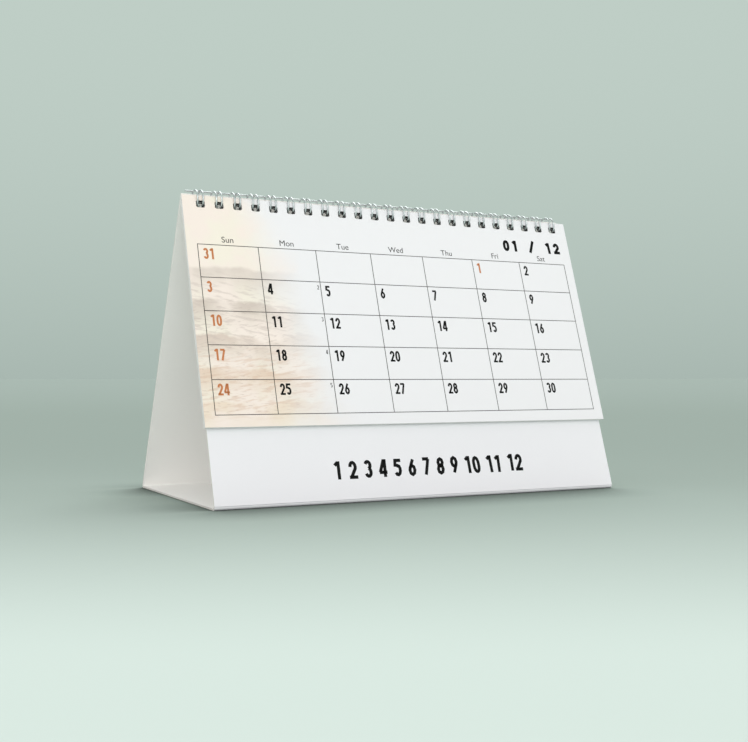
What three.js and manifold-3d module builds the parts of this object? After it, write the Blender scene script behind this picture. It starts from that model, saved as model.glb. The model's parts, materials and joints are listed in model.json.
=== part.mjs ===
// A desk calendar: a folded card stand, a stack of monthly leaves, and the twin-loop wire that binds
// them along the top. Millimetres, +X along the wire, +Y to the back, +Z up. The origin is on the
// table, under the middle of the stand.

import * as THREE from 'three';
import { mergeVertices } from 'three/addons/utils/BufferGeometryUtils.js';
import Module from 'manifold-3d';

const wasm = await Module();
wasm.setup();

// Stand: one strip of card folded twice, open at its ends and closed at the top by the wire
const standWidth = 200;
const standDepth = 105;
const frontHeight = 137.3;      // sloping height of the front panel, from the table to its top edge
const frontLean = 18;           // degrees that the front panel leans back from upright
const cardThickness = 0.8;
const foldRadius = 0.8;         // at the middle of the card

// Leaves: the months, one on top of another
const leafWidth = 202.5;
const leafHeight = 104;
const stackThickness = 2;
const leafOverPanel = 0.5;      // how far the leaves stand above the front panel's top edge
const restGap = 0.3;            // between the front panel and the last leaf

// Ruled table of days on the front leaf
const weeks = 5;
const weekdays = 7;
const tableSideMargin = 4.85;
const tableTopMargin = 22.95;
const tableFootMargin = 5.15;
const ruleWidth = 0.3;
const cellDepth = 0.1;

// Twin-loop wire
const wireDiameter = 0.8;
const loopPitch = 25.4 / 3;
const legSpacing = 2.5;         // between the two legs of a loop
const endRoom = 7.9;            // least distance from a leaf's side to the middle of the end loops
const spineAngle = 70;          // degrees from +Y up to the bars that join the loops
const spineBend = 1;            // radius where a bar turns into a leg
const tipShort = 1.5;           // from the bars back to the centre of a closed loop's round tip
const stubLength = 3;           // cut end before the first loop
const wireRoom = 0.6;           // between the front leaf and the inside of the wire
const axisBehindPanel = 0.2;    // from the front panel's inner face back to the wire's axis
const axisUnderPanelTop = 0.1;

// Punched holes and fits
const holeClearance = 0.35;     // round the wire in each hole
const holeCorner = 0.6;
const panelClearance = 0.3;     // between the back panel's top edge and the wire that passes over it
const backTopAngle = 58.3;      // degrees from +Y up to the back panel's top edge, seen from the axis

const radians = THREE.MathUtils.degToRad;
const wireRadius = wireDiameter / 2;
const outerFold = foldRadius + cardThickness / 2;
const innerFold = foldRadius - cardThickness / 2;

// In the side view a point is (y, z) in a Vector2
const up = new THREE.Vector2(Math.sin(radians(frontLean)), Math.cos(radians(frontLean)));
const out = new THREE.Vector2(-up.y, up.x);
const frontFold = new THREE.Vector2(outerFold - standDepth / 2, outerFold);
const backFold = new THREE.Vector2(standDepth / 2 - outerFold, outerFold);

// Where the front panel's outer face, carried on past the fold, meets the table
const frontFoot = frontFold.clone().addScaledVector(out, outerFold);
frontFoot.addScaledVector(up, -frontFoot.y / up.y);

// A point on the front panel: its sloping height and how far it lies in front of the outer face
const onFront = (height, proud) => frontFoot.clone().addScaledVector(up, height).addScaledVector(out, proud);

// The wire's axis, and the radius of the wire's centre line round it
const axisDepth = cardThickness + axisBehindPanel;
const axis = onFront(frontHeight - axisUnderPanelTop, -axisDepth);
const leavesFront = axisDepth + restGap + stackThickness;
const ringRadius = leavesFront + wireRoom + wireRadius;
const ringInside = ringRadius - wireRadius;
const ringOutside = ringRadius + wireRadius;

// The back panel runs straight from its top edge, inside the wire, to the back fold
const backTopRadius = ringInside - panelClearance - cardThickness / 2;
const backTop = new THREE.Vector2(Math.cos(radians(backTopAngle)), Math.sin(radians(backTopAngle)))
  .multiplyScalar(backTopRadius).add(axis);
const foldToTop = backTop.clone().sub(backFold);
const backLean = foldToTop.angle() - Math.acos(foldRadius / foldToTop.length());
const backOut = new THREE.Vector2(Math.cos(backLean), Math.sin(backLean));
const backDown = new THREE.Vector2(backOut.y, -backOut.x);

// Where the wire, bent round its axis, passes through a sheet whose faces lie near and far from the axis:
// the middle and the height of the hole, measured along the sheet
function wireHole(near, far) {
  const first = Math.sqrt(ringInside ** 2 - far ** 2) - holeClearance;
  const last = Math.sqrt(ringOutside ** 2 - near ** 2) + holeClearance;
  return { middle: (first + last) / 2, height: last - first };
}

const frontHole = wireHole(axisBehindPanel, leavesFront);
const backPanelDistance = backTop.clone().sub(axis).dot(backOut);
const backHole = wireHole(backPanelDistance - cardThickness / 2, backPanelDistance + cardThickness / 2);
const holeWidth = legSpacing + wireDiameter + 2 * holeClearance;

const loopCount = Math.floor((leafWidth - 2 * endRoom) / loopPitch) + 1;
const loopPlaces = Array.from({ length: loopCount }, (_, i) => (i - (loopCount - 1) / 2) * loopPitch);

function toSolid(geometry) {
  const plain = geometry.clone();
  plain.deleteAttribute('normal');
  plain.deleteAttribute('uv');
  const merged = mergeVertices(plain);
  return new wasm.Manifold(new wasm.Mesh({
    numProp: 3,
    vertProperties: new Float32Array(merged.attributes.position.array),
    triVerts: new Uint32Array(merged.index.array),
  }));
}

function toGeometry(solid) {
  const mesh = solid.getMesh();
  const geometry = new THREE.BufferGeometry();
  geometry.setAttribute('position', new THREE.BufferAttribute(mesh.vertProperties, 3));
  geometry.setIndex(new THREE.BufferAttribute(mesh.triVerts, 1));
  geometry.computeVertexNormals();
  return geometry;
}

function cutAway(geometry, cutters) {
  return toGeometry(cutters.reduce((solid, cutter) => solid.subtract(toSolid(cutter)), toSolid(geometry)));
}

// A punched hole's outline round its middle, a rectangle with its corners taken off
function holeOutline(height) {
  const x = holeWidth / 2;
  const y = height / 2;
  const cut = holeCorner;
  const corners = [
    [x, cut - y], [x, y - cut], [x - cut, y], [cut - x, y],
    [-x, y - cut], [-x, cut - y], [cut - x, -y], [x - cut, -y],
  ];
  return new THREE.Shape(corners.map(([across, along]) => new THREE.Vector2(across, along)));
}

// Cutters for one row of holes through a panel that faces along normal, with its middle at centre
function holeRow(centre, normal, height) {
  const across = new THREE.Vector3(1, 0, 0);
  const facing = new THREE.Vector3(0, normal.x, normal.y);
  const along = new THREE.Vector3().crossVectors(facing, across);
  const depth = 3 * cardThickness;
  return loopPlaces.map((x) => {
    const cutter = new THREE.ExtrudeGeometry(holeOutline(height), { depth, bevelEnabled: false });
    cutter.translate(0, 0, -depth / 2);
    cutter.applyMatrix4(new THREE.Matrix4().makeBasis(across, along, facing)
      .setPosition(x, centre.x, centre.y));
    return cutter;
  });
}

// The folded strip of card, in side view: front panel, front fold, base, back fold, back panel
function standProfile() {
  const frontAngle = out.angle();
  const down = -Math.PI / 2;
  const frontTopOuter = onFront(frontHeight, 0);
  const frontTopInner = onFront(frontHeight, -cardThickness);
  const backTopOuter = backTop.clone().addScaledVector(backOut, cardThickness / 2);
  const backTopInner = backTop.clone().addScaledVector(backOut, -cardThickness / 2);
  const profile = new THREE.Shape();
  profile.moveTo(frontTopInner.x, frontTopInner.y);
  profile.lineTo(frontTopOuter.x, frontTopOuter.y);
  profile.absarc(frontFold.x, frontFold.y, outerFold, frontAngle, down + 2 * Math.PI, false);
  profile.absarc(backFold.x, backFold.y, outerFold, down, backLean, false);
  profile.lineTo(backTopOuter.x, backTopOuter.y);
  profile.lineTo(backTopInner.x, backTopInner.y);
  profile.absarc(backFold.x, backFold.y, innerFold, backLean, down, true);
  profile.absarc(frontFold.x, frontFold.y, innerFold, down + 2 * Math.PI, frontAngle, true);
  profile.closePath();
  return profile;
}

function makeStand() {
  const strip = new THREE.ExtrudeGeometry(standProfile(),
    { depth: standWidth, bevelEnabled: false, curveSegments: 4 });
  strip.translate(0, 0, -standWidth / 2);
  strip.applyMatrix4(new THREE.Matrix4().makeBasis(
    new THREE.Vector3(0, 1, 0), new THREE.Vector3(0, 0, 1), new THREE.Vector3(1, 0, 0)));
  const frontMiddle = axis.clone().addScaledVector(out, axisDepth - cardThickness / 2)
    .addScaledVector(up, -frontHole.middle);
  const backMiddle = axis.clone().addScaledVector(backOut, backPanelDistance)
    .addScaledVector(backDown, backHole.middle);
  return cutAway(strip, [
    ...holeRow(frontMiddle, out, frontHole.height),
    ...holeRow(backMiddle, backOut, backHole.height),
  ]);
}

// The table of days, in the leaves' own plane with their top edge at 0: each day's cell is sunk a little,
// which leaves the ruled lines standing between them
function tableCells() {
  const left = -leafWidth / 2 + tableSideMargin;
  const cellWidth = (leafWidth - 2 * tableSideMargin) / weekdays;
  const cellHeight = (leafHeight - tableTopMargin - tableFootMargin) / weeks;
  const cells = [];
  for (let day = 0; day < weekdays; day += 1) {
    for (let week = 0; week < weeks; week += 1) {
      const cell = new THREE.BoxGeometry(cellWidth - ruleWidth, cellHeight - ruleWidth, 2 * cellDepth);
      cell.translate(
        left + (day + 0.5) * cellWidth,
        -tableTopMargin - (week + 0.5) * cellHeight,
        stackThickness,
      );
      cells.push(cell);
    }
  }
  return cells;
}

// In the leaves' own plane, the top edge is at 0 and the stack grows forward from the last leaf's back
function makeLeaves() {
  const stack = new THREE.BoxGeometry(leafWidth, leafHeight, stackThickness)
    .translate(0, -leafHeight / 2, stackThickness / 2);
  const holeDrop = leafOverPanel + axisUnderPanelTop + frontHole.middle;
  const cutDepth = 3 * stackThickness;
  const holes = loopPlaces.map((x) => (
    new THREE.ExtrudeGeometry(holeOutline(frontHole.height), { depth: cutDepth, bevelEnabled: false })
      .translate(x, -holeDrop, (stackThickness - cutDepth) / 2)));
  return cutAway(stack, [...holes, ...tableCells()]);
}

// The wire's centre line, laid out flat as points (x, along) and then bent round the axis. Along is the
// length of arc from +Y, so that legs run down the back, under, up the front and over the top.
function wireRoute() {
  const legSegments = 11;
  const bendSegments = 2;
  const tipSegments = 4;
  const leg = legSpacing / 2;
  const spine = radians(spineAngle) * ringRadius;
  const legStart = spine - spineBend;
  const tipCentre = spine - 2 * Math.PI * ringRadius + tipShort;
  const route = [];
  const arc = (x, along, radius, from, to, segments) => {
    for (let i = 0; i <= segments; i += 1) {
      const angle = from + (to - from) * i / segments;
      route.push([x + radius * Math.cos(angle), along + radius * Math.sin(angle)]);
    }
  };
  const straight = (x, from, to) => {
    for (let i = 1; i < legSegments; i += 1) {
      route.push([x, from + (to - from) * i / legSegments]);
    }
  };
  route.push([loopPlaces[0] - leg - spineBend - stubLength, spine]);
  loopPlaces.forEach((x, i) => {
    arc(x - leg - spineBend, legStart, spineBend, Math.PI / 2, 0, bendSegments);
    straight(x - leg, legStart, tipCentre);
    arc(x, tipCentre, leg, -Math.PI, 0, tipSegments);
    straight(x + leg, tipCentre, legStart);
    if (i < loopPlaces.length - 1) {
      arc(x + leg + spineBend, legStart, spineBend, Math.PI, Math.PI / 2, bendSegments);
    } else {
      route.push([x + leg, legStart]);
    }
  });
  return route.map(([x, along]) => new THREE.Vector3(
    x,
    axis.x + ringRadius * Math.cos(along / ringRadius),
    axis.y + ringRadius * Math.sin(along / ringRadius),
  ));
}

// A line through points, stepped from one point to the next
class PointLine extends THREE.Curve {
  constructor(points) {
    super();
    this.points = points;
  }

  getPoint(t, target = new THREE.Vector3()) {
    const place = t * (this.points.length - 1);
    const i = Math.min(Math.floor(place), this.points.length - 2);
    return target.lerpVectors(this.points[i], this.points[i + 1], place - i);
  }

  getTangent(t, target = new THREE.Vector3()) {
    const last = this.points.length - 1;
    const i = Math.round(t * last);
    return target.subVectors(this.points[Math.min(i + 1, last)], this.points[Math.max(i - 1, 0)]).normalize();
  }

  getUtoTmapping(u) {
    return u;
  }
}

function makeWire() {
  const sides = 6;
  const route = wireRoute();
  const section = new THREE.Shape(Array.from({ length: sides }, (_, i) => {
    const angle = 2 * Math.PI * i / sides;
    return new THREE.Vector2(wireRadius * Math.cos(angle), wireRadius * Math.sin(angle));
  }));
  return new THREE.ExtrudeGeometry(section, {
    steps: route.length - 1,
    bevelEnabled: false,
    extrudePath: new PointLine(route),
  });
}

function makePart(name, geometry, color, roughness, metalness) {
  const mesh = new THREE.Mesh(geometry, new THREE.MeshStandardMaterial({ color, roughness, metalness }));
  mesh.name = name;
  return mesh;
}

const calendar = new THREE.Group();

calendar.add(makePart('stand', makeStand(), 0xecece9, 0.75, 0));

const leaves = makePart('leaves', makeLeaves(), 0xf4f4f2, 0.6, 0);
const leavesTop = onFront(frontHeight + leafOverPanel, restGap);
leaves.position.set(0, leavesTop.x, leavesTop.y);
leaves.rotation.x = Math.PI / 2 - radians(frontLean);
calendar.add(leaves);

calendar.add(makePart('binding_wire', makeWire(), 0xb9bcc0, 0.3, 1));

export default calendar;
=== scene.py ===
"""Looks of a desk calendar: a folded card stand, a stack of monthly leaves and the wire that binds them.

Lengths in the classes are in millimetres, meshes are made in metres, and the scale of a pattern is per
metre. The front leaf and the front panel each have a plane of their own: x to the right, y up the slope,
z towards the reader.
"""

import json
import logging
import math
import random
from dataclasses import dataclass, field, replace
from enum import Enum
from typing import Callable, Iterable, Sequence

import bpy
from mathutils import Matrix, Vector


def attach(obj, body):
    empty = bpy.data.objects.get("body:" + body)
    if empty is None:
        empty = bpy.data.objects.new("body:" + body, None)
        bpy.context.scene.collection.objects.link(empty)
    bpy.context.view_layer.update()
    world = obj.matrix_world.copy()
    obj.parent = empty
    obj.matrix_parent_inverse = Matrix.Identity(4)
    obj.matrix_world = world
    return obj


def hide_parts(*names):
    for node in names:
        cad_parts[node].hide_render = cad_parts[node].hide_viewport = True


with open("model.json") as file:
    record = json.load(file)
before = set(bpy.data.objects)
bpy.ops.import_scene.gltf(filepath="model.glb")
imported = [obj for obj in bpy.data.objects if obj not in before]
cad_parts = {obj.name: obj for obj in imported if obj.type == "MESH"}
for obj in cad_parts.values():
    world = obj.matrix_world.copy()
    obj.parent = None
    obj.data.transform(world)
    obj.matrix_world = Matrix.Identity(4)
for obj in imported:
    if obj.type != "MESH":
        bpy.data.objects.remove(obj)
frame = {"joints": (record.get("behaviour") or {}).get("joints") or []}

MM = 0.001
ROOT_BODY = "root"
LEAF_BODY = "leaf_stack"
Point = tuple[float, float]
Colour = tuple[float, float, float]
Tone = tuple[int, int, int]
Socket = bpy.types.NodeSocket
log = logging.getLogger("calendar")


def linear(red: int, green: int, blue: int) -> Colour:
    """Turn a colour as written on screen into linear light.

    Args:
        red, green, blue: Values from 0 to 255.

    Returns:
        The same colour in linear light, from 0 to 1.
    """
    def channel(value: int) -> float:
        share = value / 255
        return share / 12.92 if share <= 0.04045 else ((share + 0.055) / 1.055) ** 2.4
    return channel(red), channel(green), channel(blue)


class Ink(Enum):
    """The printing inks, as written on screen."""

    BLACK = (9, 9, 10)
    ORANGE = (204, 130, 82)
    RULE = (44, 41, 40)


@dataclass(frozen=True)
class Binding:
    """Sizes that the card, the leaves and the wire share, in millimetres, as in the frame."""

    lean_degrees: float = 18.0
    card: float = 0.8
    rest_gap: float = 0.3
    stack: float = 2.0
    wire: float = 0.8
    wire_room: float = 0.6
    axis_behind_panel: float = 0.2
    axis_under_panel_top: float = 0.1
    leaf_over_panel: float = 0.5
    hole_clearance: float = 0.35
    hole_corner: float = 0.8
    leg_spacing: float = 2.5
    pitch: float = 25.4 / 3
    end_room: float = 7.9
    leaf_width: float = 202.5
    leaf_height: float = 104.0

    @property
    def axis(self) -> Vector:
        """The wire's axis in side view (y, z), which is also the leaves' hinge."""
        _, y, z = frame["joints"][0]["pos_m"]
        return Vector((y, z)) / MM

    @property
    def up(self) -> Vector:
        """The direction up the front panel, in side view."""
        lean = math.radians(self.lean_degrees)
        return Vector((math.sin(lean), math.cos(lean)))

    @property
    def out(self) -> Vector:
        """The direction out of the front panel, towards the reader, in side view."""
        return Vector((-self.up.y, self.up.x))

    @property
    def axis_depth(self) -> float:
        """How far the wire's axis lies behind the front panel's outer face."""
        return self.card + self.axis_behind_panel

    @property
    def leaves_front(self) -> float:
        """How far the front leaf's face lies from the wire's axis."""
        return self.axis_depth + self.rest_gap + self.stack

    @property
    def ring(self) -> float:
        """Radius of the wire's centre line round its axis."""
        return self.leaves_front + self.wire_room + self.wire / 2

    @property
    def loops(self) -> list[float]:
        """The middle of each loop along the wire."""
        count = math.floor((self.leaf_width - 2 * self.end_room) / self.pitch) + 1
        return [(i - (count - 1) / 2) * self.pitch for i in range(count)]

    @property
    def hole_width(self) -> float:
        """Width of a punched hole, which takes both legs of a loop."""
        return self.leg_spacing + self.wire + 2 * self.hole_clearance

    @property
    def leaf_top(self) -> float:
        """How far the leaves' top edge stands above the wire's axis."""
        return self.leaf_over_panel + self.axis_under_panel_top

    def hole(self, near: float, far: float) -> Point:
        """Where the wire passes through a sheet.

        Args:
            near: Distance from the axis to the sheet's nearer face.
            far: Distance from the axis to its farther face.

        Returns:
            The hole's middle, along the sheet from the foot of the axis, and its height.
        """
        inside = self.ring - self.wire / 2
        outside = self.ring + self.wire / 2
        first = math.sqrt(inside ** 2 - far ** 2) - self.hole_clearance
        last = math.sqrt(outside ** 2 - near ** 2) + self.hole_clearance
        return (first + last) / 2, last - first

    def plane(self, above_axis: float, proud: float) -> Matrix:
        """Find a plane parallel to the front panel.

        Args:
            above_axis: How far its origin lies up the slope from the wire's axis.
            proud: How far it lies in front of the axis.

        Returns:
            The matrix that takes the plane's own x, y and z, in metres, to the frame.
        """
        y, z = (self.axis + self.up * above_axis + self.out * proud) * MM
        matrix = Matrix.Identity(4)
        matrix.col[1] = (0, self.up.x, self.up.y, 0)
        matrix.col[2] = (0, self.out.x, self.out.y, 0)
        matrix.col[3] = (0, y, z, 1)
        return matrix


BINDING = Binding()


class Shader:
    """A node tree that is filled in from plain calls."""

    def __init__(self, tree: bpy.types.NodeTree) -> None:
        """Keep the tree that the calls add to."""
        self.tree = tree

    def node(self, kind: str, inputs: dict | None = None, **settings: object) -> bpy.types.Node:
        """Add a node.

        Args:
            kind: Its type, without the ShaderNode prefix.
            inputs: A value or a socket for each named or numbered input.
            settings: The node's own properties.

        Returns:
            The new node.
        """
        made = self.tree.nodes.new("ShaderNode" + kind)
        for name, value in settings.items():
            setattr(made, name, value)
        for key, value in (inputs or {}).items():
            self.feed(made.inputs[key], value)
        return made

    def feed(self, socket: Socket, value: object) -> None:
        """Link a socket to another, or set its value."""
        if isinstance(value, Socket):
            self.tree.links.new(value, socket)
        elif isinstance(value, tuple) and socket.type == "RGBA":
            socket.default_value = (*value, 1.0)
        else:
            socket.default_value = value

    def math(self, operation: str, first: object, second: object = 0.0) -> Socket:
        """Join two values by a named operation."""
        return self.node("Math", {0: first, 1: second}, operation=operation).outputs[0]

    def plus(self, first: object, second: object) -> Socket:
        """Add two values."""
        return self.math("ADD", first, second)

    def minus(self, first: object, second: object) -> Socket:
        """Take the second value from the first."""
        return self.math("SUBTRACT", first, second)

    def times(self, first: object, second: object) -> Socket:
        """Multiply two values."""
        return self.math("MULTIPLY", first, second)

    def over(self, first: object, second: object) -> Socket:
        """Divide the first value by the second."""
        return self.math("DIVIDE", first, second)

    def place(self) -> Socket:
        """Give each spot's place on its own piece."""
        return self.node("TexCoord").outputs["Object"]

    def step(self, value: object, low: float, high: float) -> Socket:
        """Rise smoothly from 0 at low to 1 at high."""
        made = self.node("MapRange", {"Value": value, "From Min": low, "From Max": high},
                         interpolation_type="SMOOTHSTEP")
        return made.outputs["Result"]

    def mix(self, share: object, first: object, second: object) -> Socket:
        """Mix two colours by a share of the second."""
        made = self.node("Mix", data_type="RGBA")
        self.feed(made.inputs[0], share)
        self.feed(made.inputs[6], first)
        self.feed(made.inputs[7], second)
        return made.outputs[2]

    def noise(self, place: object, scale: float, detail: float = 3.0) -> Socket:
        """Add even noise at a place, as a value round a half."""
        made = self.node("TexNoise", {"Vector": place, "Scale": scale, "Detail": detail})
        return made.outputs["Factor" if "Factor" in made.outputs else "Fac"]


def fibre_group() -> bpy.types.NodeTree:
    """Make the node group for the fibres of paper and card.

    Returns:
        A group from Colour, Mottle, Scale and Depth to a mottled Colour and a Normal.
    """
    name = "sheet_fibres"
    along_sheet, cloud_scale, fine_share = 2.4, 38.0, 0.6
    if name in bpy.data.node_groups:
        return bpy.data.node_groups[name]
    tree = bpy.data.node_groups.new(name, "ShaderNodeTree")
    face = tree.interface
    face.new_socket("Colour", in_out="INPUT", socket_type="NodeSocketColor")
    for label in ("Mottle", "Scale", "Depth"):
        face.new_socket(label, in_out="INPUT", socket_type="NodeSocketFloat")
    face.new_socket("Colour", in_out="OUTPUT", socket_type="NodeSocketColor")
    face.new_socket("Normal", in_out="OUTPUT", socket_type="NodeSocketVector")
    shader = Shader(tree)
    given = tree.nodes.new("NodeGroupInput").outputs
    place = shader.place()
    stretched = shader.node("Mapping", {"Vector": place, "Scale": (1.0, along_sheet, 1.0)}).outputs[0]
    fine = shader.node("TexNoise", {"Vector": stretched, "Scale": given["Scale"], "Detail": 5.0}).outputs[0]
    broad = shader.noise(place, cloud_scale, 2.0)
    spread = shader.times(shader.minus(fine, 0.5), fine_share)
    uneven = shader.plus(spread, shader.minus(broad, 0.5))
    lightness = shader.plus(1.0, shader.times(uneven, given["Mottle"]))
    tinted = shader.node("HueSaturation", {"Color": given["Colour"], "Value": lightness}).outputs[0]
    bump = shader.node("Bump", {"Height": fine, "Distance": given["Depth"], "Strength": 0.5})
    result = tree.nodes.new("NodeGroupOutput").inputs
    shader.feed(result["Colour"], tinted)
    shader.feed(result["Normal"], bump.outputs[0])
    return tree


class Finish:
    """A surface finish, whose material is made once for each name."""

    name: str

    def looks(self, shader: Shader) -> dict[str, object]:
        """Give a value or a socket for each input of the main shader that the finish sets."""
        raise NotImplementedError

    def material(self) -> bpy.types.Material:
        """Find the finish's material, or make it."""
        if self.name not in bpy.data.materials:
            made = new_material(self.name)
            dress(made, self.looks(Shader(made.node_tree)))
        return bpy.data.materials[self.name]


@dataclass(frozen=True)
class Sheet(Finish):
    """A paper or card surface: its colour, its shine, its fibres and a painted glow, light that it gives
    off of itself.

    A sheet with a picture takes its colour from that, and the plain colour is then the colour of its
    painted glow.
    """

    name: str
    colour: Tone
    roughness: float = 0.6
    specular: float = 0.35
    mottle: float = 0.03
    fibre_scale: float = 900.0
    fibre_depth: float = 0.02
    # Strength of the painted glow, which lightens the sheet as though light came through it.
    let_through: float = 0.0
    picture: Callable[[Shader], Socket] | None = None

    def looks(self, shader: Shader) -> dict[str, object]:
        """Give the sheet's looks."""
        colour = self.picture(shader) if self.picture else linear(*self.colour)
        fibres = shader.node("Group", node_tree=fibre_group())
        for key, value in (("Colour", colour), ("Mottle", self.mottle), ("Scale", self.fibre_scale),
                           ("Depth", self.fibre_depth * MM)):
            shader.feed(fibres.inputs[key], value)
        return {
            "Base Color": fibres.outputs["Colour"],
            "Normal": fibres.outputs["Normal"],
            "Roughness": self.roughness,
            "Specular IOR Level": self.specular,
            "Emission Color": linear(*self.colour),
            "Emission Strength": self.let_through,
        }


# Painted shade: the walls of every punched hole are dark grey, standing in for the shade deep in the holes.
PAINTED_HOLE_SHADE = Sheet("hole_painted_shade", (60, 58, 56), roughness=0.9, mottle=0.2, fibre_scale=2000.0)


@dataclass(frozen=True)
class Print(Finish):
    """An ink on paper: matt, and a little uneven where it soaked in."""

    ink: Ink
    soak_scale: float = 1400.0
    soak_range: Point = (0.35, 0.75)
    paler_share: float = 0.9
    paler_lift: float = 0.008
    roughness: float = 0.5
    soaked_roughness: float = 0.2
    specular: float = 0.15

    @property
    def name(self) -> str:
        """The material's name."""
        return "ink_" + self.ink.name.lower()

    def looks(self, shader: Shader) -> dict[str, object]:
        """Give the ink's looks."""
        soaked = shader.step(shader.noise(shader.place(), self.soak_scale, 2.0), *self.soak_range)
        base = linear(*self.ink.value)
        paler = tuple(channel * self.paler_share + self.paler_lift for channel in base)
        return {
            "Base Color": shader.mix(soaked, base, paler),
            "Roughness": shader.plus(self.roughness, shader.times(soaked, self.soaked_roughness)),
            "Specular IOR Level": self.specular,
        }


@dataclass(frozen=True)
class SilverWire(Finish):
    """Steel wire with a thin silver coat, a little brighter where the loops have rubbed."""

    name: str = "silver_wire"
    colour: Tone = (206, 208, 211)
    worn: Tone = (232, 233, 235)
    worn_scale: float = 240.0
    worn_range: Point = (0.45, 0.7)
    grain_scale: float = 2600.0
    grain_depth: float = 0.008
    roughness: float = 0.2
    grain_roughness: float = 0.18

    def looks(self, shader: Shader) -> dict[str, object]:
        """Give the wire's looks."""
        place = shader.place()
        grain = shader.noise(place, self.grain_scale, 3.0)
        rubbed = shader.step(shader.noise(place, self.worn_scale, 2.0), *self.worn_range)
        bump = shader.node("Bump", {"Height": grain, "Distance": self.grain_depth * MM, "Strength": 0.4})
        return {
            "Base Color": shader.mix(rubbed, linear(*self.colour), linear(*self.worn)),
            "Roughness": shader.plus(self.roughness, shader.times(grain, self.grain_roughness)),
            "Metallic": 1.0,
            "Normal": bump.outputs[0],
        }


def new_material(name: str) -> bpy.types.Material:
    """Start a material with the usual shader in it."""
    made = bpy.data.materials.new(name)
    made.use_nodes = True
    return made


def dress(material: bpy.types.Material, looks: dict[str, object]) -> None:
    """Feed a material's main shader with a value or a socket for each named input."""
    body = next(node for node in material.node_tree.nodes if node.type == "BSDF_PRINCIPLED")
    shader = Shader(material.node_tree)
    for name, value in looks.items():
        shader.feed(body.inputs[name], value)


def add_object(name: str, data: bpy.types.ID) -> bpy.types.Object:
    """Put an object into the scene."""
    made = bpy.data.objects.new(name, data)
    bpy.context.scene.collection.objects.link(made)
    return made


class Outline:
    """A mesh in the making: points that are shared by place, and faces on them."""

    def __init__(self) -> None:
        """Start with nothing."""
        self.points: list[tuple[float, ...]] = []
        self.faces: list[list[int]] = []
        self.known: dict[tuple[float, ...], int] = {}

    def point(self, *place: float) -> int:
        """Give the number of the point at a place, which may be there already."""
        key = tuple(round(value, 6) for value in place)
        if key not in self.known:
            self.known[key] = len(self.points)
            self.points.append(place)
        return self.known[key]

    def face(self, places: Iterable[Sequence[float]]) -> None:
        """Add a face through places in order."""
        self.faces.append([self.point(*place) for place in places])

    def border(self) -> list[tuple[int, int]]:
        """Find the edges that only one face has, each in that face's order."""
        edges = {(face[i - 1], face[i]) for face in self.faces for i in range(len(face))}
        return [(a, b) for a, b in edges if (b, a) not in edges]


def add_piece(name: str, points: list, faces: list, materials: list[bpy.types.Material],
              sides: list[int] | None = None, smooth_degrees: float = 35.0) -> bpy.types.Object:
    """Put a mesh into the scene.

    Args:
        name: The piece's name.
        points: Its points, in metres.
        faces: Its faces, as numbers of points.
        materials: One or more materials.
        sides: The number of a material for each face.
        smooth_degrees: Edges flatter than this are shaded smooth.

    Returns:
        The new object.
    """
    mesh = bpy.data.meshes.new(name)
    mesh.from_pydata(points, [], faces)
    for material in materials:
        mesh.materials.append(material)
    if sides:
        mesh.polygons.foreach_set("material_index", sides)
    mesh.polygons.foreach_set("use_smooth", [True] * len(mesh.polygons))
    mesh.set_sharp_from_angle(angle=math.radians(smooth_degrees))
    mesh.update()
    return add_object(name, mesh)


def report(piece: bpy.types.Object, body: str) -> bpy.types.Object:
    """Make a piece ride on its body and log it."""
    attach(piece, body)
    log.info("%s rides on %s: %d faces", piece.name, body, len(piece.data.polygons))
    return piece


def divided(low: float, high: float, most: float) -> list[float]:
    """Divide a length evenly into stretches no longer than the most, both ends included."""
    count = max(1, math.ceil((high - low) / most))
    return [low + (high - low) * i / count for i in range(count + 1)]


class Side(Enum):
    """The sides of a sheet, by the number of their material."""

    OUTER = 0
    INNER = 1
    CUT = 2
    # The walls of the holes, which are dark with painted shade.
    HOLE = 3


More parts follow.
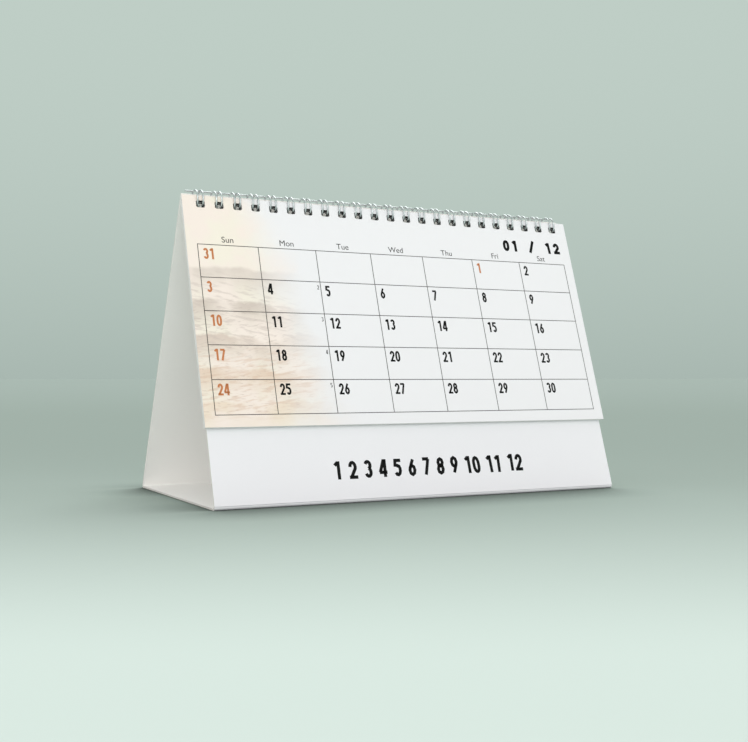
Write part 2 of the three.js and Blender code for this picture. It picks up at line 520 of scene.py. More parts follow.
class PunchedSheet(Outline):
    """A flat sheet with rows of punched holes, laid out in columns that all its rows share."""

    corner_steps = 4  # of a hole's quarter round
    land = 0.7  # paper above and below a hole in its strip

    def __init__(self, width: float, lines: list[float], hole_rows: list[Point]) -> None:
        """Lay out the sheet's faces over points (x, along).

        Args:
            width: The sheet's width in millimetres.
            lines: Where the sheet is divided along its length, ends included, in rising order.
            hole_rows: The middle and the height of each row of holes along the sheet.
        """
        super().__init__()
        half = width / 2
        cell = BINDING.pitch / 2
        self.rims: set[int] = set()
        steps = {px for _, (px, _) in self.hole_rim(0.0) if abs(px) < cell}
        columns = {x + px for x in BINDING.loops for px in steps | {-cell, cell}}
        self.columns = sorted({round(x, 6) for x in columns} | {-half, half})
        rows = set(lines)
        strips = set()
        for middle, height in hole_rows:
            low, high = middle - height / 2 - self.land, middle + height / 2 + self.land
            rows = {line for line in rows if not low < line < high} | {low, high}
            strips.add((low, high))
            self.lay_strip(half, middle, height)
        ordered = sorted(rows)
        for low, high in zip(ordered, ordered[1:]):
            if (low, high) not in strips:
                for left, right in zip(self.columns, self.columns[1:]):
                    self.face([(left, low), (right, low), (right, high), (left, high)])

    def hole_rim(self, height: float) -> list[tuple[Point, Point]]:
        """Pair the points round a hole with those on the edge of its cell.

        Args:
            height: The hole's height along the sheet.

        Returns:
            Points on the hole and on the cell's edge, anticlockwise, from the hole's middle.
        """
        across, corner, cell = BINDING.hole_width / 2, BINDING.hole_corner, BINDING.pitch / 2
        reach = height / 2 + self.land
        pairs = []
        for quarter in range(4):
            side_x = 1 if quarter in (0, 3) else -1
            side_y = 1 if quarter in (0, 1) else -1
            for i in range(self.corner_steps + 1):
                angle = math.pi / 2 * (quarter + i / self.corner_steps)
                x = side_x * (across - corner) + corner * math.cos(angle)
                y = side_y * (height / 2 - corner) + corner * math.sin(angle)
                early = i < self.corner_steps / 2
                rim = (side_x * cell, y) if early == (quarter % 2 == 0) else (x, side_y * reach)
                if i == self.corner_steps / 2:
                    rim = (side_x * cell, side_y * reach)
                pairs.append(((x, y), rim))
        return pairs

    def lay_strip(self, half: float, middle: float, height: float) -> None:
        """Lay one row of holes, with plain ends out to the sheet's sides."""
        cell = BINDING.pitch / 2
        pairs = self.hole_rim(height)
        for x in BINDING.loops:
            for i, (inner, outer) in enumerate(pairs):
                inner_next, outer_next = pairs[(i + 1) % len(pairs)]
                self.face([(x + px, middle + py) for px, py in (outer, outer_next, inner_next, inner)])
                self.rims.add(self.faces[-1][-1])
        levels = sorted({round(py, 9) for _, (px, py) in pairs if abs(abs(px) - cell) < 1e-9})
        for side, x in ((-1, BINDING.loops[0]), (1, BINDING.loops[-1])):
            left, right = sorted((side * half, x + side * cell))
            for low, high in zip(levels, levels[1:]):
                self.face([(left, middle + low), (right, middle + low), (right, middle + high),
                           (left, middle + high)])

    def build(self, name: str, place: Callable[[float, float, float], Sequence[float]],
              heights: Point, sheets: Sequence[Sheet]) -> bpy.types.Object:
        """Turn the flat sheet into a closed piece.

        Args:
            name: The piece's name.
            place: Takes x, along and the height over the flat sheet to a point in millimetres.
            heights: Heights of the sheet's inner and outer face.
            sheets: The finish of each Side, in their order.

        Returns:
            The piece.
        """
        low, high = heights
        count = len(self.points)
        points = [tuple(value * MM for value in place(x, along, height))
                  for height in (high, low) for x, along in self.points]
        faces = [face[::-1] for face in self.faces]
        faces += [[i + count for i in face] for face in self.faces]
        sides = [Side.OUTER] * len(self.faces) + [Side.INNER] * len(self.faces)
        for a, b in self.border():
            faces.append([b, b + count, a + count, a])
            sides.append(Side.HOLE if a in self.rims else Side.CUT)
        return add_piece(name, points, faces, [sheet.material() for sheet in sheets],
                         [side.value for side in sides])


@dataclass
class CardStand:
    """The stand: one strip of card, folded at the front and the back of its base."""

    width: float = 200.0
    depth: float = 105.0
    front_height: float = 137.3
    fold_radius: float = 0.8
    back_top_degrees: float = 58.3
    panel_clearance: float = 0.3
    fold_steps: int = 14
    panel_step: float = 14.0
    outside: Sheet = Sheet("card_face", (244, 244, 247), roughness=0.5, mottle=0.015)
    # The inside gives off a faint painted glow, which lightens its shaded faces within the stand.
    inside: Sheet = Sheet("card_back_painted_glow", (247, 246, 243), roughness=0.75, fibre_scale=500.0,
                          let_through=0.035)
    edge: Sheet = Sheet("card_edge", (240, 238, 232), roughness=0.85, mottle=0.1, fibre_scale=1500.0)
    route: list[tuple] = field(default_factory=list)

    def lay_route(self) -> None:
        """Work out the panels and the folds, from the front panel's top edge round to the back's."""
        card = BINDING.card
        outer = self.fold_radius + card / 2
        front_fold = Vector((outer - self.depth / 2, outer))
        back_fold = Vector((self.depth / 2 - outer, outer))
        up, out, axis = BINDING.up, BINDING.out, BINDING.axis
        top = axis + up * BINDING.axis_under_panel_top + out * (BINDING.axis_depth - card / 2)
        top_radius = BINDING.ring - BINDING.wire / 2 - self.panel_clearance - card / 2
        angle = math.radians(self.back_top_degrees)
        self.back_top = axis + Vector((math.cos(angle), math.sin(angle))) * top_radius
        to_top = self.back_top - back_fold
        back_angle = math.atan2(to_top.y, to_top.x) - math.acos(self.fold_radius / to_top.length)
        back_out = Vector((math.cos(back_angle), math.sin(back_angle)))
        back_up = Vector((-back_out.y, back_out.x))
        front_angle = math.atan2(out.y, out.x)
        down = 1.5 * math.pi
        front_end = front_fold + out * self.fold_radius
        back_start = back_fold + back_out * self.fold_radius
        self.route = [
            ("panel", top, -up, out, (top - front_end).length),
            ("fold", front_fold, front_angle, down - front_angle),
            ("panel", Vector((front_fold.x, card / 2)), Vector((1, 0)), Vector((0, -1)),
             back_fold.x - front_fold.x),
            ("fold", back_fold, down, back_angle + 2 * math.pi - down),
            ("panel", back_start, back_up, back_out, (self.back_top - back_start).length),
        ]

    def length(self, part: tuple) -> float:
        """Give the length of one panel or fold along the middle of the card."""
        return part[4] if part[0] == "panel" else part[3] * self.fold_radius

    def place(self, x: float, along: float, height: float) -> tuple[float, float, float]:
        """Take a point of the flat strip to its place on the folded one.

        Args:
            x: Place across the strip.
            along: Length from the front panel's top edge.
            height: Height over the middle of the card, towards the outside.

        Returns:
            The point in millimetres.
        """
        for number, part in enumerate(self.route):
            if along <= self.length(part) or number == len(self.route) - 1:
                break
            along -= self.length(part)
        if part[0] == "panel":
            _, start, direction, normal, _ = part
            spot = start + direction * along + normal * height
        else:
            _, centre, start_angle, _ = part
            angle = start_angle + along / self.fold_radius
            spot = centre + Vector((math.cos(angle), math.sin(angle))) * (self.fold_radius + height)
        return x, spot.x, spot.y

    def build(self) -> bpy.types.Object:
        """Build and dress the stand.

        Returns:
            The piece, in place of the frame's stand.
        """
        self.lay_route()
        lines = [0.0]
        for part in self.route:
            length = self.length(part)
            most = self.panel_step if part[0] == "panel" else length / self.fold_steps
            lines += divided(lines[-1], lines[-1] + length, most)[1:]
        total = lines[-1]
        front_hole, front_height = BINDING.hole(BINDING.axis_behind_panel, BINDING.leaves_front)
        back_out = self.route[-1][3]
        back_up = self.route[-1][2]
        from_axis = self.back_top - BINDING.axis
        distance = from_axis.dot(back_out)
        back_hole, back_height = BINDING.hole(distance - BINDING.card / 2, distance + BINDING.card / 2)
        rows = [
            (front_hole + BINDING.axis_under_panel_top, front_height),
            (total - back_hole - from_axis.dot(back_up), back_height),
        ]
        half = BINDING.card / 2
        # The holes' walls take the painted shade.
        sheets = (self.outside, self.inside, self.edge, PAINTED_HOLE_SHADE)
        stand = PunchedSheet(self.width, lines, rows).build("card_stand", self.place, (-half, half), sheets)
        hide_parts("stand")
        return report(stand, ROOT_BODY)


@dataclass
class LeafStack:
    """The monthly leaves, one behind another, with the printed one in front."""

    count: int = 12
    sheet_share: float = 0.9
    row_step: float = 14.0
    shift: float = 0.18
    seed: int = 12
    paper: Sheet = Sheet("leaf_paper", (243, 243, 245), mottle=0.012)
    edge: Sheet = Sheet("leaf_edge", (236, 235, 232), roughness=0.85, mottle=0.06, fibre_scale=1800.0)

    def build(self) -> list[bpy.types.Object]:
        """Build and dress every leaf, each a little out of line with the next.

        Returns:
            The leaves, the front one first.
        """
        draw = random.Random(self.seed)
        pitch = BINDING.stack / self.count
        middle, height = BINDING.hole(BINDING.axis_behind_panel, BINDING.leaves_front)
        hole_row = [(middle + BINDING.leaf_top, height)]
        printed = replace(self.paper, name="printed_leaf", picture=Landscape().draw)
        leaves = []
        for number in range(self.count):
            front = number == 0
            inset = 0.0 if front else draw.uniform(0, self.shift)
            slide = 0.0 if front else draw.uniform(-inset, inset) / 2
            most = self.row_step if front else BINDING.leaf_height
            lines = divided(0.0, BINDING.leaf_height - inset, most)
            flat = PunchedSheet(BINDING.leaf_width - inset, lines, hole_row)
            proud = -number * pitch
            # The holes' walls take the painted shade.
            sheets = (printed if front else self.paper, self.paper, self.edge, PAINTED_HOLE_SHADE)
            leaf = flat.build(f"leaf_{number + 1:02d}",
                              lambda x, along, rise: (x + slide, -along, proud + rise),
                              (-pitch * self.sheet_share, 0.0), sheets)
            leaf.matrix_world = BINDING.plane(BINDING.leaf_top, BINDING.leaves_front)
            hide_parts("leaves")
            leaves.append(report(leaf, LEAF_BODY))
        return leaves


@dataclass(frozen=True)
class Streaks:
    """Brushed marks in the picture: their tint, direction, size and where they lie down the leaf."""

    tint: Tone
    turn_degrees: float
    fineness: float
    least: float
    strength: float
    starts: Point
    ends: Point
    stretch: float = 5.0
    softness: float = 0.14

    def mask(self, shader: Shader, place: Socket, down: Socket) -> Socket:
        """Find how strongly the marks cover each spot."""
        turn = (0.0, 0.0, math.radians(self.turn_degrees))
        scale = (self.fineness / self.stretch, self.fineness, 1.0)
        turned = shader.node("Mapping", {"Vector": place, "Rotation": turn},
                             vector_type="TEXTURE").outputs[0]
        drawn_out = shader.node("Mapping", {"Vector": turned, "Scale": scale}).outputs[0]
        marks = shader.step(shader.noise(drawn_out, 1.0, 5.0), self.least, self.least + self.softness)
        band = shader.times(shader.step(down, *self.starts), shader.step(down, *self.ends))
        return shader.times(shader.times(marks, band), self.strength)


@dataclass(frozen=True)
class Hill:
    """A ridge of hills: its level down the leaf and its swing, as shares of it, its waves and its tint."""

    level: float
    swing: float
    waves: float
    tint: Tone
    crest: float = 0.02
    mist: float = 0.17

    def mask(self, shader: Shader, across: Socket, down: Socket) -> Socket:
        """Find how strongly the hill shows at each spot, from its crest down into the mist."""
        flat = shader.node("CombineXYZ", {0: across, 1: 0.0, 2: 0.0}).outputs[0]
        ridge = shader.minus(shader.noise(flat, self.waves, 4.0), 0.5)
        depth = shader.minus(down, shader.plus(self.level, shader.times(ridge, self.swing * 2)))
        return shader.times(shader.step(depth, 0.0, self.crest), shader.step(depth, self.mist, 0.0))


@dataclass(frozen=True)
class Landscape:
    """The faded picture at the left of the front leaf: misty ridges of hills, one below another."""

    width: float = 70.0
    top_share: float = 0.5
    fade_start: float = 0.45
    sky: Tone = (250, 238, 228)
    haze: Tone = (248, 241, 226)
    blotch_scale: float = 55.0
    blotch_wear: float = 0.5
    hills: tuple[Hill, ...] = (
        Hill(0.32, 0.10, 1.7, (221, 209, 199)),
        Hill(0.46, 0.11, 2.6, (214, 201, 190)),
        Hill(0.61, 0.09, 3.4, (221, 205, 192)),
        Hill(0.75, 0.07, 2.9, (232, 210, 190)),
        Hill(0.89, 0.05, 4.1, (240, 222, 200)),
    )
    marks: tuple[Streaks, ...] = (
        Streaks((206, 192, 182), -9.0, 700.0, 0.50, 0.45, (0.30, 0.42), (0.74, 0.62)),
        Streaks((196, 181, 170), 14.0, 1300.0, 0.54, 0.40, (0.42, 0.52), (0.80, 0.66)),
        Streaks((219, 188, 163), 8.0, 640.0, 0.49, 0.45, (0.64, 0.74), (1.0, 0.9)),
        Streaks((196, 172, 154), -5.0, 1500.0, 0.56, 0.40, (0.66, 0.76), (1.0, 0.92)),
    )

    def draw(self, shader: Shader) -> Socket:
        """Draw the picture on the leaf.

        Args:
            shader: The tree of the leaf's material.

        Returns:
            The leaf's colour, paper where the picture has faded out.
        """
        place = shader.place()
        parts = shader.node("SeparateXYZ", {0: place}).outputs
        left = -BINDING.leaf_width / 2 * MM
        across = shader.over(shader.minus(parts[0], left), self.width * MM)
        down = shader.over(parts[1], -BINDING.leaf_height * MM)
        blotch = shader.noise(place, self.blotch_scale, 4.0)
        colour = shader.mix(shader.step(blotch, 0.4, 0.62), linear(*self.sky), linear(*self.haze))
        uneven = shader.step(blotch, 0.25, 0.6)
        for hill in self.hills:
            strength = shader.times(hill.mask(shader, across, down), uneven)
            colour = shader.mix(strength, colour, linear(*hill.tint))
        for marks in self.marks:
            colour = shader.mix(marks.mask(shader, place, down), colour, linear(*marks.tint))
        reach = shader.plus(self.top_share, shader.times(shader.math("SQRT", down), 1.0 - self.top_share))
        wear = shader.times(shader.minus(blotch, 0.5), self.blotch_wear)
        worn = shader.plus(shader.over(across, reach), wear)
        fade = shader.step(worn, self.fade_start, 1.0)
        return shader.mix(fade, colour, linear(*LeafStack().paper.colour))


@dataclass(frozen=True)
class Numeral:
    """Plain condensed numerals drawn as strokes, in a box one high."""

    width: float = 0.46
    stroke: float = 0.17
    gap: float = 0.07
    steps: int = 8

    def arc(self, centre: Point, radii: Point, start: float, end: float) -> list[Point]:
        """Points on part of an ellipse, from one angle to another in degrees."""
        angles = [math.radians(start + (end - start) * i / self.steps) for i in range(self.steps + 1)]
        return [(centre[0] + radii[0] * math.cos(a), centre[1] + radii[1] * math.sin(a)) for a in angles]

    def strokes(self, digit: str) -> list[list[Point]]:
        """Give the middle line of each stroke of a digit."""
        left, right = self.stroke / 2, self.width - self.stroke / 2
        low, high = self.stroke / 2, 1 - self.stroke / 2
        mid = self.width / 2
        reach = (right - left) / 2
        bowl = 0.30
        centre_low, centre_high = (mid, low + bowl * 0.75), (mid, high - bowl * 0.66)
        if digit == "0":
            return [self.arc((mid, high - bowl), (reach, bowl), 0, 180)
                    + self.arc((mid, low + bowl), (reach, bowl), 180, 360) + [(right, high - bowl)]]
        if digit == "1":
            stem = mid + 0.06
            return [[(left, high - 0.13), (mid + 0.02, high + 0.03)], [(stem, 1.0), (stem, 0.0)]]
        if digit == "2":
            return [self.arc((mid, high - bowl * 0.8), (reach, bowl * 0.8), 180, -20)
                    + [(left + 0.02, low)], [(left - self.stroke / 2, low), (right + self.stroke / 2, low)]]
        if digit == "3":
            return [self.arc(centre_high, (reach * 0.95, bowl * 0.66), 160, -75),
                    self.arc(centre_low, (reach, bowl * 0.75), 75, -160)]
        if digit == "4":
            stem, foot = right - 0.04, low + 0.17
            return [[(stem - 0.05, high + 0.07), (left - 0.03, foot)],
                    [(left - 0.07, foot), (right + 0.1, foot)], [(stem, 1.0), (stem, 0.0)]]
        if digit == "5":
            return [[(right + 0.05, high), (left + 0.02, high), (left, high - 0.36)],
                    self.arc((mid, low + 0.26), (reach, 0.26), 125, -150)]
        if digit in "69":
            loop = self.arc((mid, low + 0.25), (reach, 0.25), 0, 360)
            tail = [(left + 0.01, low + 0.33), (mid + 0.07, high + 0.05)]
            if digit == "6":
                return [loop, tail]
            return [[(self.width - x, 1 - y) for x, y in line] for line in (loop, tail)]
        if digit == "7":
            return [[(left - 0.06, high), (right + 0.03, high)], [(right, high), (mid - 0.08, 0.0)]]
        if digit == "8":
            return [self.arc(centre_high, (reach * 0.9, bowl * 0.66), 0, 360),
                    self.arc(centre_low, (reach, bowl * 0.75), 0, 360)]
        if digit == "/":
            return [[(left, -0.04), (right, 1.04)]]
        return []

    def length(self, text: str) -> float:
        """Give the width of a run of numerals, in its heights."""
        return len(text) * (self.width + self.gap) - self.gap


def ribbon(line: list[Point], width: float) -> list[list[Point]]:
    """Widen a line into four-sided fields.

    Args:
        line: The line's points; the last is the first again where it closes.
        width: The ribbon's width.

    Returns:
        One field for each stretch, mitred where the stretches meet.
    """
    closed = math.dist(line[0], line[-1]) < 1e-6
    spots = [Vector(p) for p in (line[:-1] if closed else line)]
    count = len(spots)
    rims = []
    for i, spot in enumerate(spots):
        before = spots[i - 1] if i or closed else None
        after = spots[(i + 1) % count] if i < count - 1 or closed else None
        steps = (spot - before if before else None, after - spot if after else None)
        ways = [step.normalized() for step in steps if step is not None and step.length > 1e-9]
        along = sum(ways, Vector((0, 0))).normalized()
        side = Vector((-along.y, along.x))
        lean = max(0.5, side.dot(Vector((-ways[0].y, ways[0].x))))
        rims.append((spot + side * (width / 2 / lean), spot - side * (width / 2 / lean)))
    stretches = range(count if closed else count - 1)
    return [[tuple(rims[i][1]), tuple(rims[(i + 1) % count][1]), tuple(rims[(i + 1) % count][0]),
             tuple(rims[i][0])] for i in stretches]


class InkField:
    """Printed shapes that lie on one plane in one ink, as a film of even thickness."""

    film_top = 0.02
    film_foot = 0.002
    hand_tilt = 3.0
    hand_lift = 0.03

    def __init__(self, name: str, ink: Ink) -> None:
        """Start an empty field with the piece's name and its ink."""
        self.name = name
        self.ink = ink
        self.points: list[tuple] = []
        self.faces: list[list[int]] = []

    def patch(self, corners: list[Point]) -> None:
        """Add a closed film with these corners, in millimetres."""
        area = sum(a[0] * b[1] - b[0] * a[1] for a, b in zip(corners, corners[1:] + corners[:1]))
        ordered = corners if area > 0 else corners[::-1]
        size, start = len(ordered), len(self.points)
        for height in (self.film_top, self.film_foot):
            self.points += [(x * MM, y * MM, height * MM) for x, y in ordered]
        self.faces.append([start + i for i in range(size)])
        self.faces.append([start + size + i for i in reversed(range(size))])
        self.faces += [[start + i, start + size + i, start + size + (i + 1) % size, start + (i + 1) % size]
                       for i in range(size)]

    def bar(self, left: float, bottom: float, right: float, top: float) -> None:
        """Add a level rectangle."""
        self.patch([(left, bottom), (right, bottom), (right, top), (left, top)])

    def number(self, text: str, left: float, bottom: float, height: float, style: Numeral,
               draw: random.Random | None = None) -> None:
        """Print a run of numerals.

        Args:
            text: The digits.
            left: Left side of the run, in millimetres.
            bottom: Its foot.
            height: Its height.
            style: How the digits are drawn.
            draw: Tilts each digit a little, as by hand, where it is given.
        """
        for digit in text:
            tilt = math.radians(draw.uniform(-self.hand_tilt, self.hand_tilt)) if draw else 0.0
            lift = draw.uniform(-self.hand_lift, self.hand_lift) if draw else 0.0
            for line in style.strokes(digit):
                turned = [(x - (y - 0.5) * tilt, y + lift) for x, y in line]
                scaled = [(left + x * height, bottom + y * height) for x, y in turned]
                for corners in ribbon(scaled, style.stroke * height):
                    self.patch(corners)
            left += (style.width + style.gap) * height

    def build(self, plane: Matrix, body: str, slot: str) -> bpy.types.Object:
        """Put the field in its plane, on its body."""
        piece = add_piece(self.name, self.points, self.faces, [Print(self.ink).material()])
        piece.matrix_world = plane
        return report(piece, body)


@dataclass(frozen=True)
class MonthPage:
    """The print on the front leaf, in the leaf's plane with its top edge at 0, in millimetres."""

    left: float = -96.4
    right: float = 96.4
    top: float = -22.95
    bottom: float = -98.85
    rule: float = 0.3
    number_height: float = 5.1
    number_in: float = 2.15
    number_down: float = 1.72
    week_height: float = 2.0
    week_in: float = 1.7
    week_down: float = 3.6
    name_size: float = 3.9
    name_foot: float = -21.6
    name_proud: float = 0.012
    heading_right: float = 95.4
    heading_foot: float = -17.2
    heading_height: float = 5.9
    heading_seed: int = 3
    days: int = 30
    day_names: tuple[str, ...] = ("Sun", "Mon", "Tue", "Wed", "Thu", "Fri", "Sat")

    def cell(self, row: int, column: int) -> Point:
        """Give the top left corner of a day's cell."""
        return (self.left + (self.right - self.left) * column / 7,
                self.top + (self.bottom - self.top) * row / 5)

    def rules(self) -> InkField:
        """Draw the ruled table."""
        ruled = InkField("table_rules", Ink.RULE)
        half = self.rule / 2
        for column in range(8):
            x, _ = self.cell(0, column)
            ruled.bar(x - half, self.bottom - half, x + half, self.top + half)
        for row in range(6):
            _, y = self.cell(row, 0)
            ruled.bar(self.left, y - half, self.right, y + half)
        return ruled

    def build(self) -> None:
        """Print the table, its dates, the week numbers and the heading."""
        plane = BINDING.plane(BINDING.leaf_top, BINDING.leaves_front)
        style = Numeral()
        black = InkField("weekday_dates", Ink.BLACK)
        orange = InkField("rest_day_dates", Ink.ORANGE)
        entries = [(0, 0, "31"), (0, 5, "1"), (0, 6, "2")]
        entries += [(1 + (day - 3) // 7, (day - 3) % 7, str(day)) for day in range(3, self.days + 1)]
        for row, column, text in entries:
            x, y = self.cell(row, column)
            ink = orange if column == 0 or text == "1" else black
            ink.number(text, x + self.number_in, y - self.number_down - self.number_height,
                       self.number_height, style)
        small = Numeral(stroke=0.13)
        for row in range(1, 5):
            x, y = self.cell(row, 2)
            black.number(str(row + 1), x - self.week_in, y - self.week_down, self.week_height, small)
        for ink in (self.rules(), black, orange, self.heading()):
            ink.build(plane, LEAF_BODY, "leaf_paper")
        for column, name in enumerate(self.day_names):
            self.label(name, column, plane)

    def heading(self) -> InkField:
        """Print the month's number at the right, in heavy hand-drawn digits."""
        text = "01 / 12"
        bold = Numeral(width=0.62, stroke=0.25, gap=0.24)
        left = self.heading_right - bold.length(text) * self.heading_height
        printed = InkField("month_number", Ink.BLACK)
        printed.number(text, left, self.heading_foot, self.heading_height, bold,
                       random.Random(self.heading_seed))
        return printed

    def label(self, name: str, column: int, plane: Matrix) -> None:
        """Print the short name of a weekday over its column."""
        curve = bpy.data.curves.new("weekday_" + name.lower(), "FONT")
        curve.body = name
        curve.size = self.name_size * MM
        curve.align_x = "CENTER"
        words = add_object(curve.name, curve)
        bpy.context.view_layer.update()
        mesh = bpy.data.meshes.new_from_object(words.evaluated_get(bpy.context.evaluated_depsgraph_get()))
        bpy.data.objects.remove(words)
        x, _ = self.cell(0, column)
        middle = x + (self.right - self.left) / 14
        mesh.transform(Matrix.Translation(Vector((middle, self.name_foot, self.name_proud)) * MM))
        mesh.materials.clear()
        mesh.materials.append(Print(Ink.BLACK).material())
        piece = add_object("weekday_" + name.lower(), mesh)
        piece.matrix_world = plane
        report(piece, LEAF_BODY)


@dataclass(frozen=True)
class MonthStrip:
    """The row of month numbers on the bare band of the front panel."""

    left: float = -46.0
    right: float = 50.5
    bottom: float = 10.6
    height: float = 7.9
    months: int = 12
    seed: int = 7

    def build(self) -> None:
        """Print the twelve numbers, evenly spaced in heavy hand-drawn digits."""
        style = Numeral(width=0.50, stroke=0.19, gap=0.05)
        texts = [str(month) for month in range(1, self.months + 1)]
        printed = sum(style.length(text) * self.height for text in texts)
        space = (self.right - self.left - printed) / (len(texts) - 1)
        strip = InkField("month_strip", Ink.BLACK)
        draw = random.Random(self.seed)
        x = self.left
        for text in texts:
            strip.number(text, x, self.bottom, self.height, style, draw)
            x += style.length(text) * self.height + space
        stand = CardStand()
        foot = stand.front_height - BINDING.axis_under_panel_top
        strip.build(BINDING.plane(-foot, BINDING.axis_depth), ROOT_BODY, "card")


@dataclass
class TwinLoopWire:
    """The binding: one wire bent into double loops and closed round the leaves and both panels."""

    spine_degrees: float = 70.0
    spine_bend: float = 1.0
    tip_short: float = 1.5
    stub: float = 3.0
    leg_steps: int = 40
    bend_steps: int = 6
    tip_steps: int = 12
    sides: int = 12

    def route(self) -> list[Vector]:
        """Follow the wire's centre line.

        Returns:
            Points in metres, from the cut end at the left to the one at the right.
        """
        ring = BINDING.ring
        leg = BINDING.leg_spacing / 2
        spine = math.radians(self.spine_degrees) * ring
        start = spine - self.spine_bend
        tip = spine - 2 * math.pi * ring + self.tip_short
        flat: list[Point] = []

        def arc(x: float, along: float, radius: float, first: float, last: float, steps: int) -> None:
            for i in range(steps + 1):
                angle = first + (last - first) * i / steps
                flat.append((x + radius * math.cos(angle), along + radius * math.sin(angle)))

        def straight(x: float, first: float, last: float) -> None:
            for i in range(1, self.leg_steps):
                flat.append((x, first + (last - first) * i / self.leg_steps))

        loops = BINDING.loops
        flat.append((loops[0] - leg - self.spine_bend - self.stub, spine))
        for x in loops:
            arc(x - leg - self.spine_bend, start, self.spine_bend, math.pi / 2, 0, self.bend_steps)
            straight(x - leg, start, tip)
            arc(x, tip, leg, -math.pi, 0, self.tip_steps)
            straight(x + leg, tip, start)
            if x != loops[-1]:
                arc(x + leg + self.spine_bend, start, self.spine_bend, math.pi, math.pi / 2,
                    self.bend_steps)
            else:
                flat.append((x + leg, start))
        y, z = BINDING.axis
        return [Vector((x, y + ring * math.cos(along / ring), z + ring * math.sin(along / ring))) * MM
                for x, along in flat]

    def build(self) -> bpy.types.Object:
        """Build and dress the wire.

        Returns:
            The piece, in place of the frame's wire.
        """
        line = self.route()
        radius = BINDING.wire / 2 * MM
        points: list[Vector] = []
        angles = [2 * math.pi * k / self.sides for k in range(self.sides)]
        side = Vector((0, 0, 1))
        for i, spot in enumerate(line):
            along = (line[min(i + 1, len(line) - 1)] - line[max(i - 1, 0)]).normalized()
            side = (side - along * side.dot(along)).normalized()
            other = along.cross(side)
            points += [spot + (side * math.cos(a) + other * math.sin(a)) * radius for a in angles]
        faces = []
        for i in range(len(line) - 1):
            for k in range(self.sides):
                after = (k + 1) % self.sides
                low, high = i * self.sides, (i + 1) * self.sides
                faces.append([low + k, low + after, high + after, high + k])
        last = (len(line) - 1) * self.sides
        faces.append(list(reversed(range(self.sides))))
        faces.append([last + k for k in range(self.sides)])
        wire = add_piece("twin_loop_wire", points, faces, [SilverWire().material()], smooth_degrees=50.0)
        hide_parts("binding_wire")
        return report(wire, ROOT_BODY)


@dataclass(frozen=True)
class Sun:
    """A soft distant light: its direction from the object, its strength and its disc's width in degrees."""

    name: str
    towards: tuple[float, float, float]
    strength: float
    spread: float

    def build(self) -> None:
        """Hang up the light."""
        data = bpy.data.lights.new(self.name, "SUN")
        data.energy = self.strength
        data.angle = math.radians(self.spread)
        lamp = add_object(self.name, data)
        lamp.rotation_mode = "QUATERNION"
        lamp.rotation_quaternion = Vector(self.towards).to_track_quat("Z", "Y")


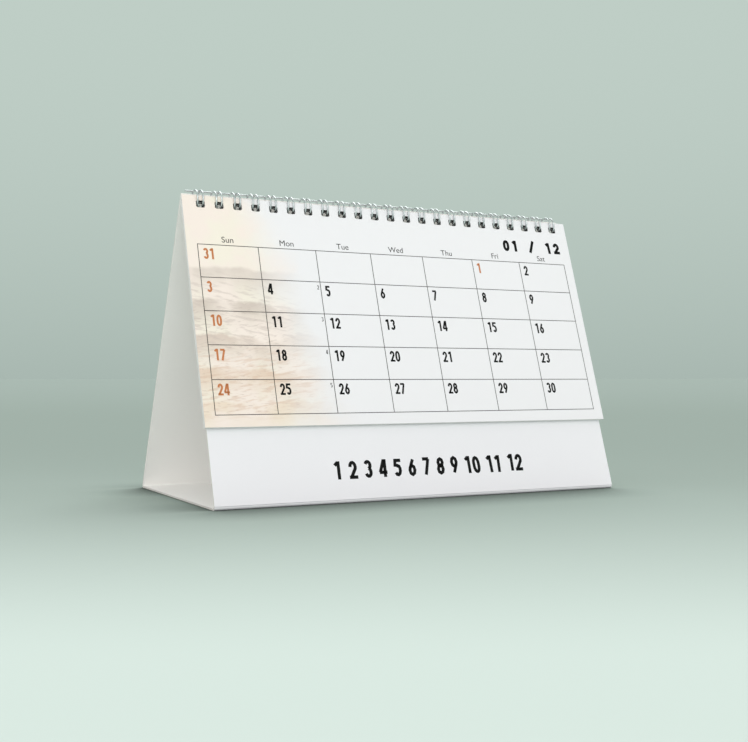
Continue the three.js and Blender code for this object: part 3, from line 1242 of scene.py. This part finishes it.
@dataclass(frozen=True)
class Studio:
    """The photograph's camera, a pale sage floor and soft light."""

    camera_place: tuple[float, float, float] = (-243.9, -468.9, 53.25)
    turn_degrees: float = 27.336
    rise_degrees: float = 0.315
    focal_length: float = 52.81
    sensor: float = 36.0
    floor_size: float = 60000.0
    near: float = 160.0
    far_range: Point = (0.0, 0.12)
    front_range: Point = (0.165, 0.79)
    front_tone: Tone = (217, 232, 225)
    dim_tone: Tone = (161, 176, 168)
    far_tone: Tone = (169, 184, 177)
    wall_top: Tone = (191, 206, 198)
    wall_height: float = 0.34
    # The floor's painted shadow: how far it reaches, the side it leans to and how deep it is.
    contact: float = 39.0
    contact_side: tuple[float, float, float] = (0.6, 0.2, 0.8)
    contact_depth: float = 1.55
    floor_light: Colour = (1.19, 1.17, 1.18)
    world_light: Colour = (0.72, 0.70, 0.70)
    suns: tuple[Sun, ...] = (
        Sun("key", (-0.35, -1.2, 0.5), 1.07, 60.0),
        Sun("back", (0.45, 0.7, 1.25), 1.4, 50.0),
    )

    @property
    def forward(self) -> Vector:
        """The level direction in which the camera looks."""
        turn = math.radians(self.turn_degrees)
        return Vector((math.sin(turn), math.cos(turn), 0))

    def add_camera(self) -> None:
        """Set up the camera."""
        data = bpy.data.cameras.new("camera")
        data.lens = self.focal_length
        data.sensor_width = self.sensor
        data.clip_start = 0.01
        camera = add_object("camera", data)
        camera.location = Vector(self.camera_place) * MM
        camera.rotation_euler = (math.radians(90 + self.rise_degrees), 0, -math.radians(self.turn_degrees))
        bpy.context.scene.camera = camera

    def add_floor(self) -> None:
        """Lay the floor, pale in front and dimmer towards the back, where it meets the wall's tone, and
        darkened round the object by a painted shadow.
        """
        half = self.floor_size / 2 * MM
        square = [(-half, -half, 0), (half, -half, 0), (half, half, 0), (-half, half, 0)]
        made = new_material("floor_tone")
        shader = Shader(made.node_tree)
        place = shader.place()
        along = shader.node("VectorMath", {0: place, 1: tuple(self.forward)},
                            operation="DOT_PRODUCT").outputs["Value"]
        distance = shader.minus(along, Vector(self.camera_place).dot(self.forward) * MM)
        share = shader.over(self.near * MM, shader.math("MAXIMUM", distance, self.near * MM))
        back = shader.mix(shader.step(share, *self.far_range), self.lit(self.far_tone),
                          self.lit(self.dim_tone))
        tone = shader.mix(shader.step(share, *self.front_range), back, self.lit(self.front_tone))
        # Painted shadow: ambient occlusion, leaning to one side, darkens the floor's colour towards black
        # round the object.
        side = shader.node("CombineXYZ", dict(enumerate(Vector(self.contact_side).normalized()))).outputs[0]
        painted_shadow_open = shader.node("AmbientOcclusion", {"Distance": self.contact * MM, "Normal": side},
                                 samples=16).outputs["AO"]
        tone = shader.mix(shader.math("POWER", painted_shadow_open, self.contact_depth), (0.0, 0.0, 0.0), tone)
        dress(made, {"Base Color": tone, "Roughness": 0.9, "Specular IOR Level": 0.0})
        add_piece("floor", square, [[0, 1, 2, 3]], [made])

    def lit(self, tone: Tone) -> Colour:
        """Give the floor's colour that shows as a tone under the studio's light."""
        return tuple(channel / light for channel, light in zip(linear(*tone), self.floor_light))

    def add_world(self) -> None:
        """Light everything evenly, and show a pale sage wall to the camera."""
        world = bpy.data.worlds.new("studio")
        world.use_nodes = True
        bpy.context.scene.world = world
        shader = Shader(world.node_tree)
        world.node_tree.nodes.clear()
        direction = shader.node("TexCoord").outputs["Generated"]
        height = shader.node("SeparateXYZ", {0: direction}).outputs[2]
        share = shader.node("MapRange", {"Value": height, "From Max": self.wall_height}).outputs["Result"]
        left_over = shader.minus(1.0, share)
        rise = shader.minus(1.0, shader.times(left_over, left_over))
        wall = shader.mix(rise, linear(*self.far_tone), linear(*self.wall_top))
        path = shader.node("LightPath").outputs
        seen = shader.node("Background", {"Color": wall, "Strength": 1.0})
        light = shader.node("Background", {"Color": self.world_light, "Strength": 1.0})
        either = shader.math("MAXIMUM", path["Is Camera Ray"], path["Is Glossy Ray"])
        both = shader.node("MixShader", {0: either, 1: light.outputs[0], 2: seen.outputs[0]})
        shader.node("OutputWorld", {"Surface": both.outputs[0]})

    def build(self) -> None:
        """Set up the camera, the floor and the light."""
        bpy.context.scene.view_settings.view_transform = "Standard"
        self.add_camera()
        self.add_floor()
        self.add_world()
        for sun in self.suns:
            sun.build()


def main() -> None:
    """Build the calendar's pieces in order and note the size of the result."""
    logging.basicConfig(level=logging.INFO, format="%(message)s")
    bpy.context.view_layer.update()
    for part in (Studio(), CardStand(), LeafStack(), MonthPage(), MonthStrip(), TwinLoopWire()):
        part.build()


if __name__ == "__main__":
    main()
